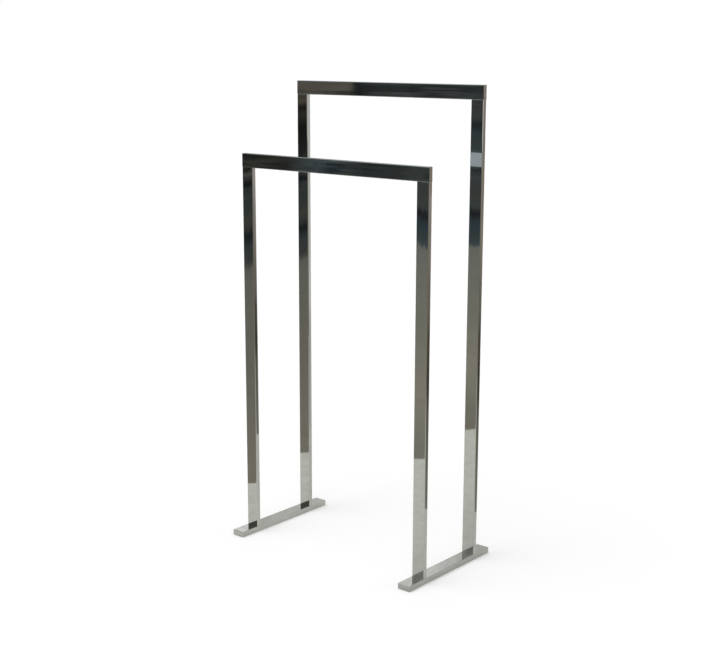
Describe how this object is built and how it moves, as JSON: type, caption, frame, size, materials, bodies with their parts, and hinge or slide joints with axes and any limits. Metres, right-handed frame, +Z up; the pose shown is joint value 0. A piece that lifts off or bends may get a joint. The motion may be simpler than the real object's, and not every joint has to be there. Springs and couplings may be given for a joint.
{
  "type": "freestanding towel stand",
  "caption": "Freestanding towel stand with a low front rail and a taller rear rail of flat chromed tube, on uprights that stand on long flat feet.",
  "frame": {"origin": "on the floor, midway between the two feet and midway along them", "axes": "+Z up, +Y from the low front frame towards the tall rear frame, +X to the right when facing the front"},
  "size_m": [0.5, 0.28, 1],
  "materials": {
    "chrome": "polished chrome plate",
    "plated_steel": "zinc plated, bright",
    "pad_rubber": "matt black rubber"
  },
  "bodies": {
    "root": {"front_rail": "chrome", "rear_rail": "chrome", "left_foot": "chrome", "right_foot": "chrome", "front_left_upright": "chrome", "front_right_upright": "chrome", "rear_left_upright": "chrome", "rear_right_upright": "chrome", "front_left_rail_end_block": "chrome", "front_right_rail_end_block": "chrome", "rear_left_rail_end_block": "chrome", "rear_right_rail_end_block": "chrome", "front_left_upright_top_plug": "plated_steel", "front_left_upright_bottom_plug": "plated_steel", "front_left_tie_rod": "plated_steel", "front_left_sleeve_nut": "plated_steel", "front_right_upright_top_plug": "plated_steel", "front_right_upright_bottom_plug": "plated_steel", "front_right_tie_rod": "plated_steel", "front_right_sleeve_nut": "plated_steel", "rear_left_upright_top_plug": "plated_steel", "rear_left_upright_bottom_plug": "plated_steel", "rear_left_tie_rod": "plated_steel", "rear_left_sleeve_nut": "plated_steel", "rear_right_upright_top_plug": "plated_steel", "rear_right_upright_bottom_plug": "plated_steel", "rear_right_tie_rod": "plated_steel", "rear_right_sleeve_nut": "plated_steel", "front_left_foot_pad": "pad_rubber", "front_right_foot_pad": "pad_rubber", "rear_left_foot_pad": "pad_rubber", "rear_right_foot_pad": "pad_rubber"}
  },
  "joints": []
}
